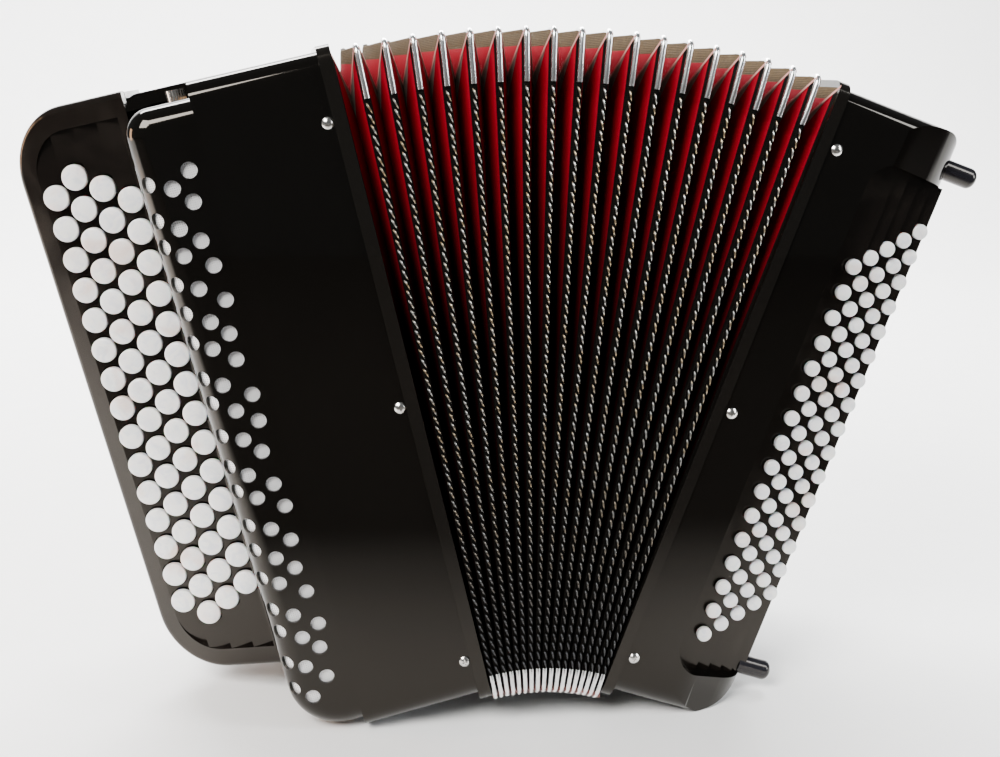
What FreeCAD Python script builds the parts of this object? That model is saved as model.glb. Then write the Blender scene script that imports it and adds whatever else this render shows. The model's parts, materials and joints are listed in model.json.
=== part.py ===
import FreeCAD, Part
import math
import os
from FreeCAD import Placement, Rotation, Vector

# Chromatic button accordion, standing open like a fan on the lower edges of
# its two casings.  All lengths are in mm and all angles in degrees.
#
# The treble side (the right hand's side) and the bass side each have a frame of
# their own: X runs across the instrument from the keyboard to the bass end, Y
# from the front to the player's body, and Z up the casing.  Both frames are
# tilted about Y, and the folds of the bellows fill the angle between them.

# Bellows
FOLDS = 18
TREBLE_TILT = -14.0
BASS_TILT = 18.64
FOLD_PITCH = 3.456
FOLD_THICKNESS = 3.1
FOLD_HEIGHT = 367.0
FOLD_BAR = 24.0
DEPTH = 200.0
STEP_ANGLE = (BASS_TILT - TREBLE_TILT) / (FOLDS + 1)
HINGE_GAP = (FOLD_PITCH - FOLD_THICKNESS) / 2

# Treble casing
TREBLE_OUTER = -100.0
PANEL_LEFT = -63.0
TREBLE_INNER = 3.0
TREBLE_BOTTOM = -178.0
TREBLE_TOP = 188.0
TREBLE_HEEL = 30.0
WALL = 7.0
EDGE_ROUND = 11.0
TREBLE_RIM = 10.0
TREBLE_PIVOT_Z = -180.5

# Treble keyboard: the button tops lie in a plane that slopes back to the left,
# and the board rises to the right in one terrace for each row of buttons.
ROW_START = (-152.3, 67.4)
ROW_SLOPE = -25.7
ROW_SPACING = 15.16
BUTTON_PITCH = 17.5
BUTTON_FACE = 8.0
TREBLE_ROWS = ((144.0, 15), (152.75, 16), (144.0, 15), (135.25, 14))
BUTTON_R = 7.0
STEM_R = 2.75
BUTTON_HEAD = 3.9
BUTTON_STANDS = 5.0
BUTTON_LENGTH = 26.0
BUTTON_DIP = 3.5
BUTTON_WELL = BUTTON_DIP - (BUTTON_STANDS - BUTTON_HEAD) + 0.8
LEVER_GAP = 2.8
BOARD_TOP = 191.0
BOARD_BOTTOM = -147.0
BOARD_EDGE = -21.3
BOARD_CORNER = 37.0
BOARD_THICKNESS = 11.6
RIM_BELOW_TOPS = 2.4

# Treble levers: each tail runs down left of the pallets and turns at an elbow
# to its own pallet, so that the other rows' pallets can lift beside it.
AXLE = (-84.0, 88.0)
AXLE_R = 2.0
AXLE_TOP = 164.0
LEVER_WIDTH = 2.6
LEVER_THICKNESS = 1.6
LEVER_ELBOW = -76.0
LEVER_SHIFTS = (-2.1, -2.1, 2.1, 2.1)
BOSS_R = 4.5
BOSS_HALF = 1.6
PALLET_Y = (26.0, 38.0, 50.0, 62.0)
PALLET_HALF_LENGTH = 7.5
PALLET_HALF_WIDTH = 4.5
PALLET_THICKNESS = 4.0
PALLET_CLEARANCE = 0.3
SLOT_HALF_LENGTH = 5.5
SLOT_HALF_WIDTH = 3.0

# Grille cover
GRILLE_FRONT = 4.0
GRILLE_BACK = 44.0
GRILLE_TOP = 180.0
GRILLE_BOTTOM = -176.0
GRILLE_ROUND = 12.0
GRILLE_SKIN = 1.8
GRILLE_HOLE_R = 4.2
GRILLE_HOLE_ROWS = 18
GRILLE_HOLE_TOP = 146.0
GRILLE_HOLE_PITCH = 16.9
THUMB_SCREW = (-72.0, 36.0)
THUMB_SCREW_R = 5.0
THUMB_SCREW_HEIGHT = 5.5
THUMB_NECK_R = 1.6

# Bass casing
BASS_INNER = -5.0
BASS_OUTER = 80.0
BASS_BOTTOM = -178.0
BASS_TOP = 185.0
BASS_RIM = -11.5
BASS_PIVOT_Z = -182.0
FRONT_BEND = 36.0
BASS_SLOPE = 22.4
BASS_CORNER = 33.0
BASS_ROW_START = (39.0, 7.1)
BASS_FIRST_Z = -130.65
BASS_ROWS = 5
BASS_COLUMNS = 16
BASS_PITCH = 15.25
BASS_ROW_SPACING = 9.9
BASS_SHIFT = 7.77
BASS_BUTTON_R = 4.4
BASS_STEM_R = 2.0
BASS_HEAD = 3.6
BASS_STANDS = 5.0
BASS_LENGTH = 16.0
BASS_DIP = 3.0
BASS_WELL = BASS_DIP - (BASS_STANDS - BASS_HEAD) + 0.6
BASS_BOARD_THICKNESS = 5.0
RECESS_LEFT = 23.5
RECESS_TOP = 156.0
RECESS_BOTTOM = -154.0
BASS_BOARD_X = 24.0
BASS_AXLE = (46.0, 150.0)
BASS_AXLE_R = 2.0
BASS_PALLETS = 12
BASS_PALLET_FIRST_Z = -121.0
BASS_PALLET_PITCH = 22.0
AIR_Y = 62.0
AIR_Z = 128.0
FOOT_R = 6.0
FOOT_LENGTH = 18.0
FOOT_SEAT = 4.0
FOOT_PEG = 9.0
FOOT_PEG_R = 2.0

# Three screws down the front and three down the back hold each bellows frame.
SCREW_Z = (-153.0, 0.0, 153.0)
SCREW_HEAD_R = 3.1
FRAME_OPENING = 15.0

# The hand strap runs down the middle of the bass end between two clamps.
STRAP_FRONT = 86.0
STRAP_WIDTH = 68.0
STRAP_END_Z = 138.0
STRAP_THICKNESS = 2.6

X_AXIS = Vector(1, 0, 0)
Y_AXIS = Vector(0, 1, 0)
Z_AXIS = Vector(0, 0, 1)


def turned(degrees):
    """Direction of local +X and +Z in the row frame after a tilt about Y."""
    turn = Rotation(Y_AXIS, degrees)
    return turn.multVec(X_AXIS), turn.multVec(Z_AXIS)


def hinge_points():
    """The pivots between the treble side, the folds and the bass side."""
    across, up = turned(TREBLE_TILT)
    point = across * (TREBLE_RIM + HINGE_GAP) + up * TREBLE_PIVOT_Z
    points = [point]
    for fold in range(1, FOLDS + 1):
        across, up = turned(TREBLE_TILT + fold * STEP_ANGLE)
        point = point + across * FOLD_PITCH
        points.append(point)
    return points


HINGES = hinge_points()
TREBLE = Placement(Vector(), Rotation(Y_AXIS, TREBLE_TILT))
BASS_ACROSS, BASS_UP = turned(BASS_TILT)
BASS_ORIGIN = HINGES[-1] - BASS_ACROSS * (BASS_RIM - HINGE_GAP) - BASS_UP * BASS_PIVOT_Z
BASS = Placement(BASS_ORIGIN, Rotation(Y_AXIS, BASS_TILT))


def bass_heel_radius():
    """Radius of the bass casing's heel that sets it level with the treble heel."""
    angle = math.radians(-TREBLE_TILT)
    sine, cosine = math.sin(angle), math.cos(angle)
    treble_low = TREBLE_OUTER * sine + TREBLE_BOTTOM * cosine + TREBLE_HEEL * (sine + cosine - 1)
    angle = math.radians(BASS_TILT)
    sine, cosine = math.sin(angle), math.cos(angle)
    sharp_low = BASS_ORIGIN.z - BASS_OUTER * sine + BASS_BOTTOM * cosine
    return (treble_low - sharp_low) / (sine + cosine - 1)


nodes = {}


def keep(name, shape, frame):
    """Store one named piece, given in its own side's frame."""
    moved = shape.copy()
    moved.Placement = frame.multiply(shape.Placement)
    nodes[name] = moved


def box(x0, x1, y0, y1, z0, z1):
    return Part.makeBox(x1 - x0, y1 - y0, z1 - z0, Vector(x0, y0, z0))


def in_xy(a, b):
    return Vector(a, b, 0)


def in_xz(a, b):
    return Vector(a, 0, b)


def in_yz(a, b):
    return Vector(0, a, b)


def outline(corners, plane):
    """A closed face through (a, b, radius) corners, rounded where radius > 0."""
    edges = []
    count = len(corners)
    starts, ends, mids = [], [], []
    for i, (a, b, radius) in enumerate(corners):
        here = plane(a, b)
        back = plane(*corners[i - 1][:2]) - here
        ahead = plane(*corners[(i + 1) % count][:2]) - here
        back.normalize()
        ahead.normalize()
        if radius == 0:
            starts.append(here)
            ends.append(here)
            mids.append(None)
            continue
        half = back.getAngle(ahead) / 2
        reach = radius / math.tan(half)
        bisector = back + ahead
        bisector.normalize()
        centre = here + bisector * (radius / math.sin(half))
        starts.append(here + back * reach)
        ends.append(here + ahead * reach)
        mids.append(centre - bisector * radius)
    for i in range(count):
        if mids[i] is not None:
            edges.append(Part.Arc(starts[i], mids[i], ends[i]).toShape())
        following = starts[(i + 1) % count]
        if ends[i].distanceToPoint(following) > 1e-6:
            edges.append(Part.LineSegment(ends[i], following).toShape())
    return Part.Face(Part.Wire(edges))


def prism(corners, plane, start, length):
    """The outline pushed out along its normal, from start over length."""
    normal = plane(1, 0).cross(plane(0, 1))
    if plane is in_xz:
        normal = Y_AXIS
    face = outline(corners, plane)
    face.translate(normal * start)
    return face.extrude(normal * length)


def rounded_block(x0, x1, y0, y1, z0, z1, radius):
    """A bar along X whose four long edges are rounded."""
    section = ((y0, z0, radius), (y1, z0, radius), (y1, z1, radius), (y0, z1, radius))
    return prism(section, in_yz, x0, x1 - x0)


def ring(x0, x1, outer, inner, radius):
    """A rectangular frame in the YZ plane; outer and inner are (y0, y1, z0, z1)."""
    return rounded_block(x0, x1, *outer, radius).cut(box(x0 - 1, x1 + 1, *inner))


def rod(start, direction, radius, length):
    return Part.makeCylinder(radius, length, start, direction)


def mushroom(head_r, head_height, stem_r, length, dome):
    """A button about the Z axis: its domed top is at z = 0 and the stem goes down."""
    rim = head_r - 1.0
    edges = [
        Part.Arc(Vector(0, 0, 0), Vector(rim * 0.55, 0, -dome * 0.3), Vector(rim, 0, -dome)).toShape(),
        Part.Arc(Vector(rim, 0, -dome), Vector(head_r - 0.25, 0, -dome - 0.4),
                 Vector(head_r, 0, -dome - 1.2)).toShape(),
    ]
    corners = [Vector(head_r, 0, -dome - 1.2), Vector(head_r, 0, -head_height),
               Vector(stem_r, 0, -head_height), Vector(stem_r, 0, -length),
               Vector(0, 0, -length), Vector(0, 0, 0)]
    for first, second in zip(corners, corners[1:]):
        edges.append(Part.LineSegment(first, second).toShape())
    return Part.Face(Part.Wire(edges)).revolve(Vector(), Z_AXIS, 360)


def aimed(shape, outward, place):
    """Turn a shape made along +Z so that it points outward, and put it in place."""
    copy = shape.copy()
    copy.Placement = Placement(place, Rotation(Z_AXIS, outward))
    return copy


def screw_set(x, y_front, y_back):
    """Cross-head screws through the casing wall into the bellows frame."""
    solids = []
    for z in SCREW_Z:
        for y, outward in ((y_front, -Y_AXIS), (y_back, Y_AXIS)):
            head = Part.makeSphere(4.4, Vector(0, 0, -2.7)).common(
                Part.makeCylinder(SCREW_HEAD_R, 3, Vector(0, 0, 0.05)))
            for turn in (0, 90):
                slot = Part.makeBox(3.4, 0.7, 2, Vector(-1.7, -0.35, 0.9))
                slot.rotate(Vector(), Z_AXIS, turn)
                head = head.cut(slot)
            shank = Part.makeCylinder(1.2, 6.5, Vector(0, 0, -6.45))
            solids.append(aimed(head.fuse(shank), outward, Vector(x, y, z)))
    return Part.makeCompound(solids)


def cut_all(shape, tools):
    return shape.cut(Part.makeCompound(tools))


# ---------------------------------------------------------------- bellows

def make_folds():
    """Each fold is a thin stiff card frame, hinged to the next at the bottom."""
    outer = (0.0, DEPTH, 0.0, FOLD_HEIGHT)
    inner = (FOLD_BAR, DEPTH - FOLD_BAR, FOLD_BAR, FOLD_HEIGHT - FOLD_BAR)
    fold = ring(HINGE_GAP, HINGE_GAP + FOLD_THICKNESS, outer, inner, 4.0)
    for number in range(1, FOLDS + 1):
        turn = Rotation(Y_AXIS, TREBLE_TILT + number * STEP_ANGLE)
        keep("fold_%02d" % number, fold, Placement(HINGES[number - 1], turn))


# ---------------------------------------------------------- treble casing

def treble_outline(inset, left):
    """Front outline of the casing, shrunk by inset, from left to the bellows."""
    heel = TREBLE_HEEL - inset
    return ((left + inset, TREBLE_BOTTOM + inset, heel), (TREBLE_INNER, TREBLE_BOTTOM + inset, 0),
            (TREBLE_INNER, TREBLE_TOP - inset, 0), (left + inset, TREBLE_TOP - inset, 8.0))


def make_treble_case():
    block = prism(treble_outline(0, TREBLE_OUTER), in_xz, 0, DEPTH)
    block = block.common(rounded_block(TREBLE_OUTER, TREBLE_INNER, 0, DEPTH,
                                       TREBLE_BOTTOM, TREBLE_TOP, EDGE_ROUND))
    hollow = prism(treble_outline(WALL, TREBLE_OUTER), in_xz, WALL, DEPTH - 2 * WALL)
    grille_place = box(TREBLE_OUTER - 1, PANEL_LEFT, -1, GRILLE_BACK, -200, 200)
    lever_way = box(TREBLE_OUTER - 1, TREBLE_OUTER + WALL + 1, GRILLE_BACK - 1, 112, -138, 180)
    screw_holes = [rod(Vector(0, y, z), Y_AXIS, 1.3, 8) for z in SCREW_Z for y in (-0.5, DEPTH - 7.5)]
    case = cut_all(block, [hollow, grille_place, lever_way] + screw_holes)
    keep("treble_case", case, TREBLE)


def grille_outline(inset):
    left, right = TREBLE_OUTER + inset, PANEL_LEFT
    low, high = GRILLE_BOTTOM + inset, GRILLE_TOP - inset
    return ((left, low, TREBLE_HEEL - inset), (right, low, 0),
            (right, high, 0), (left, high, 14.0 - inset / 2))


def grille_hull(inset, back):
    """The cover's outer or inner body, with its front edges rounded."""
    hull = prism(grille_outline(inset), in_xz, GRILLE_FRONT + inset, back - GRILLE_FRONT - inset)
    front = [edge for edge in hull.Edges
             if abs(edge.BoundBox.YMax - GRILLE_FRONT - inset) < 1e-3
             and edge.BoundBox.XMin < PANEL_LEFT - 1e-3]
    return hull.makeFillet(GRILLE_ROUND - inset, front)


def grille_holes():
    """Sound holes in three wandering columns, the outer one on the rounded edge."""
    holes = []
    straight = Vector(0, 1, 0)
    slanted = Vector(0.67, 0.745, 0)
    columns = ((-75.0, straight, 0.0, 2.0), (-85.5, straight, 8.5, 2.0), (-95.5, slanted, 3.0, 1.0))
    for x, direction, drop, wander in columns:
        for row in range(GRILLE_HOLE_ROWS):
            z = GRILLE_HOLE_TOP - GRILLE_HOLE_PITCH * row - drop + 1.8 * math.sin(2.4 * row + drop)
            shift = wander * math.cos(1.7 * row)
            start = Vector(x + shift, GRILLE_FRONT + 3, z) - direction * 8
            holes.append(rod(start, direction, GRILLE_HOLE_R, 16))
    return holes


def make_grille():
    skin = grille_hull(0, GRILLE_BACK).cut(grille_hull(GRILLE_SKIN, GRILLE_BACK + 1))
    screw_hole = rod(Vector(THUMB_SCREW[0], THUMB_SCREW[1], GRILLE_TOP - 8), Z_AXIS, THUMB_NECK_R + 0.05, 10)
    keep("treble_grille", cut_all(skin, grille_holes() + [screw_hole]), TREBLE)
    near, far = GRILLE_SKIN + 0.4, GRILLE_SKIN + 0.9
    mesh = grille_hull(near, 20).cut(grille_hull(far, 21))
    keep("grille_mesh", mesh, TREBLE)


def make_thumb_screw():
    """A knurled screw on top of the grille cover, which it holds to the casing."""
    seat = Vector(THUMB_SCREW[0], THUMB_SCREW[1], GRILLE_TOP + 0.1)
    head = rod(seat, Z_AXIS, THUMB_SCREW_R, THUMB_SCREW_HEIGHT)
    neck = rod(seat, -Z_AXIS, THUMB_NECK_R, 6.0)
    grooves = []
    for number in range(20):
        turn = math.pi * number / 10
        offset = Vector(math.cos(turn), math.sin(turn), 0) * (THUMB_SCREW_R + 0.2)
        grooves.append(rod(seat + offset - Z_AXIS, Z_AXIS, 0.45, THUMB_SCREW_HEIGHT + 2))
    keep("grille_thumb_screw", cut_all(head, grooves).fuse(neck), TREBLE)


# --------------------------------------------------------------- keyboard

SLOPE = math.radians(ROW_SLOPE)
ALONG = Vector(math.cos(SLOPE), math.sin(SLOPE), 0)
BELOW = Vector(-math.sin(SLOPE), math.cos(SLOPE), 0)
ROW_ORIGIN = Vector(ROW_START[0], ROW_START[1], 0)
FACE = math.radians(BUTTON_FACE)
PRESS = Vector(math.sin(FACE), math.cos(FACE), 0)
TERRACE = Vector(math.cos(FACE), -math.sin(FACE), 0)


def row_top(row):
    """Centre of the button tops of one row, at z = 0."""
    return ROW_ORIGIN + ALONG * (ROW_SPACING * row)


def button_heights(row):
    first, count = TREBLE_ROWS[row]
    return [first - BUTTON_PITCH * number for number in range(count)]


def in_board(a, b):
    return ROW_ORIGIN + ALONG * a + Vector(0, 0, b)


def board_block(inset, start, thickness, right):
    """The keyboard's own outline, pushed down from the plane of the button tops."""
    low, high = BOARD_BOTTOM + inset, BOARD_TOP - inset
    corners = ((BOARD_EDGE + inset, low, BOARD_CORNER - inset), (right, low, 0),
               (right, high, 0), (BOARD_EDGE + inset, high, BOARD_CORNER - inset))
    face = outline(corners, in_board)
    face.translate(BELOW * start)
    return face.extrude(BELOW * thickness)


def left_of_case(shape):
    return shape.common(box(-260, TREBLE_OUTER, -50, 260, -260, 260))


def terrace_prism():
    """The stepped space above the terraces, open towards the player's fingers."""
    half = ROW_SPACING * ALONG.dot(TERRACE) / 2
    corners = []
    for row in range(len(TREBLE_ROWS)):
        floor = row_top(row) + PRESS * BUTTON_STANDS
        left = half + (3.0 if row == 0 else 0.0)
        corners.append(floor - TERRACE * left)
        corners.append(floor + TERRACE * half)
    corners.append(corners[-1] - BELOW * 20)
    corners.append(corners[0] - BELOW * 20)
    wire = Part.makePolygon(corners + [corners[0]])
    wire.translate(Vector(0, 0, BOARD_BOTTOM - 10))
    return Part.Face(wire).extrude(Vector(0, 0, BOARD_TOP - BOARD_BOTTOM + 20))


def make_keyboard():
    board = left_of_case(board_block(0, RIM_BELOW_TOPS, BOARD_THICKNESS, 70))
    upper = [edge for edge in board.Edges
             if all(abs((v.Point - ROW_ORIGIN).dot(BELOW) - RIM_BELOW_TOPS) < 1e-3 for v in edge.Vertexes)
             and edge.CenterOfMass.x < TREBLE_OUTER - 1]
    board = board.makeFillet(3.5, upper)
    recess = terrace_prism().common(board_block(12.5, -20, 40, 75))
    cuts = [recess]
    for row in range(len(TREBLE_ROWS)):
        top = row_top(row)
        for z in button_heights(row):
            place = top + Vector(0, 0, z)
            cuts.append(rod(place + PRESS * (BUTTON_STANDS + BUTTON_WELL), -PRESS, BUTTON_R + 0.9, 30))
            cuts.append(rod(place, PRESS, STEM_R + 0.4, 40))
    keep("keyboard_board", cut_all(board, cuts), TREBLE)


def make_keyboard_case():
    """The shell under the board, which leaves its right side open to the levers."""
    start = RIM_BELOW_TOPS + BOARD_THICKNESS
    corner = ROW_ORIGIN + ALONG * BOARD_EDGE + BELOW * start
    end = ROW_ORIGIN + ALONG * 56.0 + BELOW * start

    def section(inset):
        lift = -1.0 if inset else 0.0
        a = corner + ALONG * inset + BELOW * lift
        b = end + BELOW * lift
        return ((a.x, a.y, 0), (b.x + 5, b.y, 0), (TREBLE_OUTER + 5, 126 - inset, 0),
                (-146 + 0.6 * inset, 126 - inset, 16.0), (-163.4 + inset, 98.0, 3.0))

    shell = left_of_case(prism(section(0), in_xy, -200, 400)).common(board_block(0.6, 0, 90, 90))
    room = prism(section(3.0), in_xy, -200, 400).common(board_block(4.0, -10, 120, 110))
    keep("keyboard_case", shell.cut(room), TREBLE)


def make_treble_buttons():
    """Each row is one node; its buttons slide straight down through the board."""
    button = mushroom(BUTTON_R, BUTTON_HEAD, STEM_R, BUTTON_LENGTH, 0.7)
    for row in range(len(TREBLE_ROWS)):
        solids = [aimed(button, -PRESS, row_top(row) + Vector(0, 0, z)) for z in button_heights(row)]
        keep("treble_buttons_row_%d" % (row + 1), Part.makeCompound(solids), TREBLE)


def flat_bar(start, end, width, z, thickness):
    """A straight strip between two points of the XY plane."""
    line = end - start
    side = Vector(-line.y, line.x, 0)
    side.normalize()
    side = side * (width / 2)
    corners = [start + side, end + side, end - side, start - side]
    wire = Part.makePolygon(corners + [corners[0]])
    wire.translate(Vector(0, 0, z - thickness / 2))
    return Part.Face(wire).extrude(Vector(0, 0, thickness))


def make_treble_levers():
    """Every lever turns on the long axle and lifts its pallet off the soundboard."""
    hub = Vector(AXLE[0], AXLE[1], 0)
    pallet_right = PANEL_LEFT - PALLET_CLEARANCE
    pallet_left = pallet_right - PALLET_THICKNESS
    for row in range(len(TREBLE_ROWS)):
        touch = row_top(row) + PRESS * (BUTTON_LENGTH + LEVER_GAP)
        y = PALLET_Y[row]
        elbow = Vector(LEVER_ELBOW, y, 0)
        seat = Vector(pallet_left + 0.5, y, 0)
        solids = []
        for z in button_heights(row):
            level = z + LEVER_SHIFTS[row]
            arm = flat_bar(touch - X_AXIS * 3, hub, LEVER_WIDTH, level, LEVER_THICKNESS)
            tail = flat_bar(hub, elbow, LEVER_WIDTH, level, LEVER_THICKNESS)
            post = flat_bar(elbow - X_AXIS * (LEVER_WIDTH / 2), seat, LEVER_WIDTH, level, LEVER_THICKNESS)
            boss = rod(Vector(hub.x, hub.y, level - BOSS_HALF), Z_AXIS, BOSS_R, 2 * BOSS_HALF)
            bore = rod(Vector(hub.x, hub.y, level - 5), Z_AXIS, AXLE_R + 0.05, 10)
            lever = arm.fuse([tail, post, boss]).cut(bore)
            pallet = box(pallet_left, pallet_right, y - PALLET_HALF_WIDTH, y + PALLET_HALF_WIDTH,
                         z - PALLET_HALF_LENGTH, z + PALLET_HALF_LENGTH)
            solids.append(lever.fuse(pallet))
        keep("treble_levers_row_%d" % (row + 1), Part.makeCompound(solids), TREBLE)
    bottom = button_heights(1)[-1] - 12
    keep("lever_axle", rod(Vector(hub.x, hub.y, bottom), Z_AXIS, AXLE_R, AXLE_TOP - bottom), TREBLE)
    posts = []
    for z in (bottom + 3, AXLE_TOP - 5):
        post = box(hub.x - 5, hub.x + 5, hub.y - 5, DEPTH - WALL, z - 1.5, z + 1.5)
        posts.append(post.cut(rod(Vector(hub.x, hub.y, z - 5), Z_AXIS, AXLE_R + 0.01, 10)))
    keep("axle_posts", Part.makeCompound(posts), TREBLE)


# ---------------------------------------------------------- treble insides

def make_treble_insides():
    low, high = TREBLE_BOTTOM + WALL, TREBLE_TOP - WALL
    board = box(PANEL_LEFT, PANEL_LEFT + 5, WALL, DEPTH - WALL, low, high)
    slots = []
    for row in range(len(TREBLE_ROWS)):
        for z in button_heights(row):
            y = PALLET_Y[row]
            slots.append(box(PANEL_LEFT - 1, PANEL_LEFT + 6, y - SLOT_HALF_WIDTH, y + SLOT_HALF_WIDTH,
                             z - SLOT_HALF_LENGTH, z + SLOT_HALF_LENGTH))
    keep("treble_soundboard", cut_all(board, slots), TREBLE)
    blocks, plates = reed_bank(PANEL_LEFT + 5, 44, (24, 62, 100, 138), -118.0, 158.0)
    keep("treble_reed_blocks", blocks, TREBLE)
    keep("treble_reed_plates", plates, TREBLE)


def reed_bank(base, reach, fronts, low, high):
    """Wooden reed blocks on the soundboard, with a metal reed plate on each chamber.
    A negative reach builds them towards -X."""
    blocks, plates = [], []
    count = 16
    pitch = (high - low) / count
    for front in fronts:
        x0, x1 = sorted((base, base + reach))
        blocks.append(box(x0, x1, front, front + 20, low, high))
        p0, p1 = sorted((base + 0.12 * reach, base + 0.92 * reach))
        for number in range(count):
            z0 = low + pitch * number + 1.0
            for y in (front - 1.2, front + 20):
                plates.append(box(p0, p1, y, y + 1.2, z0, z0 + pitch - 2.0))
    return Part.makeCompound(blocks), Part.makeCompound(plates)


def make_treble_frame():
    outer = (-1.5, DEPTH + 1.5, TREBLE_BOTTOM - 3.0, TREBLE_TOP + 2.5)
    inner = (FRAME_OPENING, DEPTH - FRAME_OPENING,
             TREBLE_BOTTOM + FRAME_OPENING, TREBLE_TOP - FRAME_OPENING)
    rim = ring(TREBLE_INNER, TREBLE_RIM, outer, inner, 9.0)
    inside = (WALL, DEPTH - WALL, TREBLE_BOTTOM + WALL, TREBLE_TOP - WALL)
    spigot = ring(-8.0, TREBLE_INNER, inside, inner, 3.0)
    holes = [rod(Vector(0, y, z), Y_AXIS, 1.2, 9) for z in SCREW_Z for y in (-1.0, DEPTH - 8)]
    keep("treble_bellows_frame", cut_all(rim.fuse(spigot), holes), TREBLE)
    keep("treble_bellows_screws", screw_set(0.0, 0.0, DEPTH), TREBLE)


def strap_loop(across, up, out, centre, slot_width, slot_height, thick):
    """A chrome plate with a strap slot, bent up from a foot on the casing."""
    plate = Part.makeBox(slot_width + 10, slot_height + 9, thick)
    slot = Part.makeBox(slot_width, slot_height, thick + 2, Vector(5, 4, -1))
    loop = plate.cut(slot)
    turn = Rotation(across, up, out)
    corner = centre - across * (slot_width / 2 + 5) - up * 4
    loop.Placement = Placement(corner, turn)
    return loop


def make_strap_brackets():
    """Shoulder-strap brackets on the back of the treble casing, top and bottom."""
    brackets = []
    for z, up in ((TREBLE_TOP, 1), (TREBLE_BOTTOM, -1)):
        centre = Vector(-40, DEPTH + 6, z - up * 34)
        loop = strap_loop(X_AXIS, Z_AXIS, -Y_AXIS, centre, 32.0, 9.0, 2.5)
        foot = box(-61, -19, DEPTH, DEPTH + 6, z - up * 34 - 4, z - up * 34)
        brackets.append(loop.fuse(foot))
    keep("shoulder_strap_brackets", Part.makeCompound(brackets), TREBLE)


# -------------------------------------------------------------- bass casing

def bass_front(offset, reach):
    """Y of the sloping front at distance reach past the bend, pushed back by offset."""
    return offset + math.tan(math.radians(BASS_SLOPE)) * reach


def make_bass_case():
    heel = bass_heel_radius()
    front_view = ((BASS_INNER, BASS_BOTTOM, 0), (BASS_OUTER, BASS_BOTTOM, heel),
                  (BASS_OUTER, BASS_TOP, 16.0), (BASS_INNER, BASS_TOP, 0))
    top_view = ((BASS_INNER, 0, 0), (FRONT_BEND, 0, 30.0),
                (BASS_OUTER, bass_front(0, BASS_OUTER - FRONT_BEND), BASS_CORNER),
                (BASS_OUTER, DEPTH, 8.0), (BASS_INNER, DEPTH, 0))
    block = prism(front_view, in_xz, 0, DEPTH).common(prism(top_view, in_xy, -200, 400))
    block = block.common(rounded_block(BASS_INNER - 1, BASS_OUTER + 1, 0, DEPTH,
                                       BASS_BOTTOM, BASS_TOP, EDGE_ROUND))
    inner_low, inner_high = BASS_BOTTOM + WALL, BASS_TOP - WALL
    hollow_front = ((BASS_INNER - 1, inner_low, 0), (BASS_OUTER - WALL, inner_low, heel - WALL),
                    (BASS_OUTER - WALL, inner_high, 9.0), (BASS_INNER - 1, inner_high, 0))
    back_line = board_back_line()
    hollow_top = ((BASS_INNER - 1, WALL, 0), (RECESS_LEFT - 6, WALL, 0),
                  (RECESS_LEFT - 6, back_line(RECESS_LEFT - 6), 0),
                  (BASS_OUTER - WALL, back_line(BASS_OUTER - WALL), 0),
                  (BASS_OUTER - WALL, DEPTH - WALL, 0), (BASS_INNER - 1, DEPTH - WALL, 0))
    hollow = prism(hollow_front, in_xz, 0, DEPTH).common(prism(hollow_top, in_xy, -200, 400))
    holes = [rod(Vector(0, y, z), Y_AXIS, 1.3, 8) for z in SCREW_Z for y in (-0.5, DEPTH - 7.5)]
    stem_holes = [rod(bass_row_top(BASS_ROWS - 1) + Vector(0, 0, z), Y_AXIS,
                      BASS_STEM_R + 0.4, BASS_LENGTH + BASS_DIP + 1)
                  for z in bass_heights(BASS_ROWS - 1)]
    air_way = rod(Vector(BASS_OUTER - 10, AIR_Y, AIR_Z), X_AXIS, 4.3, 12)
    vent = rod(Vector(60, AIR_Y + 22, AIR_Z), X_AXIS, 7.0, 30)
    case = cut_all(block, [hollow, board_zone(1.0), air_way, vent] + holes + stem_holes + foot_holes())
    keep("bass_case", case, BASS)


# ------------------------------------------------------- bass button board

BASS_ANGLE = math.radians(BASS_SLOPE)
BASS_ALONG = Vector(math.cos(BASS_ANGLE), math.sin(BASS_ANGLE), 0)
BASS_TOPS = Vector(BASS_ROW_START[0], BASS_ROW_START[1], 0)


def bass_row_top(row):
    return BASS_TOPS + BASS_ALONG * (BASS_ROW_SPACING * row)


def bass_heights(row):
    return [BASS_FIRST_Z + BASS_SHIFT * row + BASS_PITCH * number for number in range(BASS_COLUMNS)]


def board_back_line():
    """The straight back of the stepped board, as a function of x."""
    slope = math.tan(BASS_ANGLE)
    start = BASS_TOPS.y + BASS_STANDS + BASS_BOARD_THICKNESS + 1.6

    def y_at(x):
        return start + slope * (x - BASS_TOPS.x)
    return y_at


def board_zone(extra):
    """The space that the recess and the board take out of the bass casing."""
    back = board_back_line()
    front = ((RECESS_LEFT, RECESS_BOTTOM, 18.0), (BASS_OUTER + 20, RECESS_BOTTOM, 0),
             (BASS_OUTER + 20, RECESS_TOP, 0), (RECESS_LEFT, RECESS_TOP, 14.0))
    plan = ((RECESS_LEFT - 5, -10, 0), (BASS_OUTER + extra, -10, 0),
            (BASS_OUTER + extra, back(BASS_OUTER + extra), 0), (RECESS_LEFT - 5, back(RECESS_LEFT - 5), 0))
    return prism(front, in_xz, -10, 80).common(prism(plan, in_xy, -200, 400))


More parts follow.
